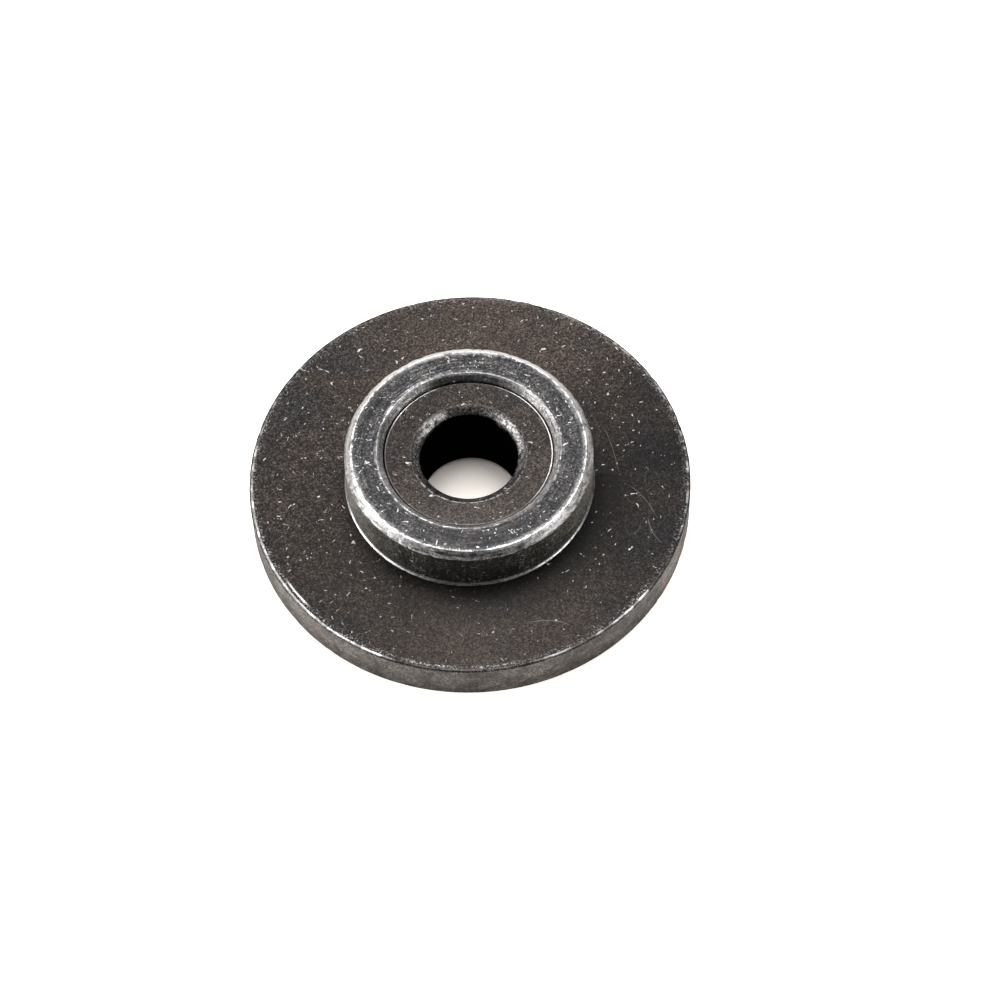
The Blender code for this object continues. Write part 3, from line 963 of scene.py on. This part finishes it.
def make_floor():
    """A plain, pale, matt table top that glows a little where it is seen round the wheel."""
    half = 1.5
    mesh = bpy.data.meshes.new("floor")
    corners = [(-half, -half, 0), (half, -half, 0), (half, half, 0), (-half, half, 0)]
    mesh.from_pydata(corners, [], [(0, 1, 2, 3)])
    floor = bpy.data.objects.new("floor", mesh)
    floor.location.z = -0.02 * MM
    bpy.context.scene.collection.objects.link(floor)
    graph = Graph("pale_table")
    away = graph.node("VectorMath", Vector=graph.place)
    away.operation = "LENGTH"
    beyond = graph.math("GREATER_THAN", away.outputs["Value"], GLOW_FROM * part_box("flange_disc")[1].x)
    seen = graph.node("LightPath").outputs["Is Camera Ray"]
    glow = graph.node("MapRange", Value=graph.times(seen, beyond), To_Min=GLOW_THROUGH_BORE,
                      To_Max=GLOW_ROUND_WHEEL)
    for name, value in [("Base Color", TABLE_COLOUR), ("Roughness", TABLE_ROUGHNESS),
                        ("Emission Color", TABLE_GLOW_COLOUR), ("Emission Strength", glow.outputs["Result"])]:
        graph.feed(graph.shader.inputs[name], value)
    mesh.materials.append(graph.material)


def soft_box(name, azimuth, elevation, distance, width, height, radiance):
    """A rectangular soft light that faces the wheel, placed by its direction from it."""
    data = bpy.data.lights.new(name, "AREA")
    data.shape = "RECTANGLE"
    data.size, data.size_y = width, height
    data.energy = radiance * width * height * math.pi
    light = bpy.data.objects.new(name, data)
    a, e = math.radians(azimuth), math.radians(elevation)
    away = Vector((math.cos(a) * math.cos(e), math.sin(a) * math.cos(e), math.sin(e)))
    light.location = away * distance
    light.rotation_mode = "QUATERNION"
    light.rotation_quaternion = away.to_track_quat("Z", "Y")
    bpy.context.scene.collection.objects.link(light)


def make_world():
    """Even pale surroundings with the room darker on the side that the wheel is looked at from."""
    world = bpy.data.worlds.new("studio")
    bpy.context.scene.world = world
    world.use_nodes = True
    tree = world.node_tree
    background = tree.nodes["Background"]
    place = tree.nodes.new("ShaderNodeTexCoord").outputs["Generated"]
    towards = tree.nodes.new("ShaderNodeVectorMath")
    towards.operation = "DOT_PRODUCT"
    tree.links.new(place, towards.inputs[0])
    towards.inputs[1].default_value = (0.0, -math.cos(DARK_SIDE_ELEVATION), math.sin(DARK_SIDE_ELEVATION))
    dark = tree.nodes.new("ShaderNodeMapRange")
    dark.interpolation_type = "SMOOTHSTEP"
    tree.links.new(towards.outputs["Value"], dark.inputs["Value"])
    for name, value in [("From Min", math.cos(DARK_SIDE_OUTER)), ("From Max", math.cos(DARK_SIDE_INNER)),
                        ("To Min", 1.0), ("To Max", DARK_SIDE_LEVEL)]:
        dark.inputs[name].default_value = value
    level = tree.nodes.new("ShaderNodeMath")
    level.operation = "MULTIPLY"
    tree.links.new(dark.outputs["Result"], level.inputs[0])
    level.inputs[1].default_value = ROOM_LEVEL
    seen = tree.nodes.new("ShaderNodeLightPath").outputs["Is Camera Ray"]
    choice = tree.nodes.new("ShaderNodeMix")
    tree.links.new(seen, choice.inputs[0])
    tree.links.new(level.outputs[0], choice.inputs[2])
    choice.inputs[3].default_value = 1.0
    tree.links.new(choice.outputs[0], background.inputs["Strength"])


def make_lights():
    """A soft box on each side of the wheel and a stronger one above it."""
    # azimuth and elevation in degrees, distance, width and height in metres, radiance
    soft_box("left_box", 188, 17, 0.60, 0.38, 0.34, 5.2)
    soft_box("right_box", 337, 22, 0.60, 0.26, 0.26, 3.6)
    soft_box("overhead_box", 90, 77, 0.70, 0.38, 0.38, 13.0)


def make_camera():
    """The camera, turned down by its elevation and rolled a little."""
    e, roll = CAMERA_ELEVATION, CAMERA_ROLL
    right = Vector((1.0, 0.0, 0.0))
    down = Vector((0.0, -math.sin(e), -math.cos(e)))
    forward = Vector((0.0, math.cos(e), -math.sin(e)))
    rolled_right = right * math.cos(roll) + down * math.sin(roll)
    rolled_down = down * math.cos(roll) - right * math.sin(roll)
    data = bpy.data.cameras.new("camera")
    data.sensor_width = SENSOR_MM
    data.lens = CAMERA_LENS_MM
    data.clip_start, data.clip_end = 0.01, 10.0
    camera = bpy.data.objects.new("camera", data)
    place = -(rolled_right * CAMERA_OFFSET_X + rolled_down * CAMERA_OFFSET_Y + forward * CAMERA_DISTANCE)
    axes = Matrix((rolled_right, -rolled_down, -forward)).transposed()
    camera.matrix_world = Matrix.Translation(place) @ axes.to_4x4()
    bpy.context.scene.collection.objects.link(camera)
    bpy.context.scene.camera = camera


make_disc()
make_hub()
make_sleeve()
make_floor()
make_world()
make_lights()
make_camera()
bpy.context.scene.view_settings.view_transform = "Standard"
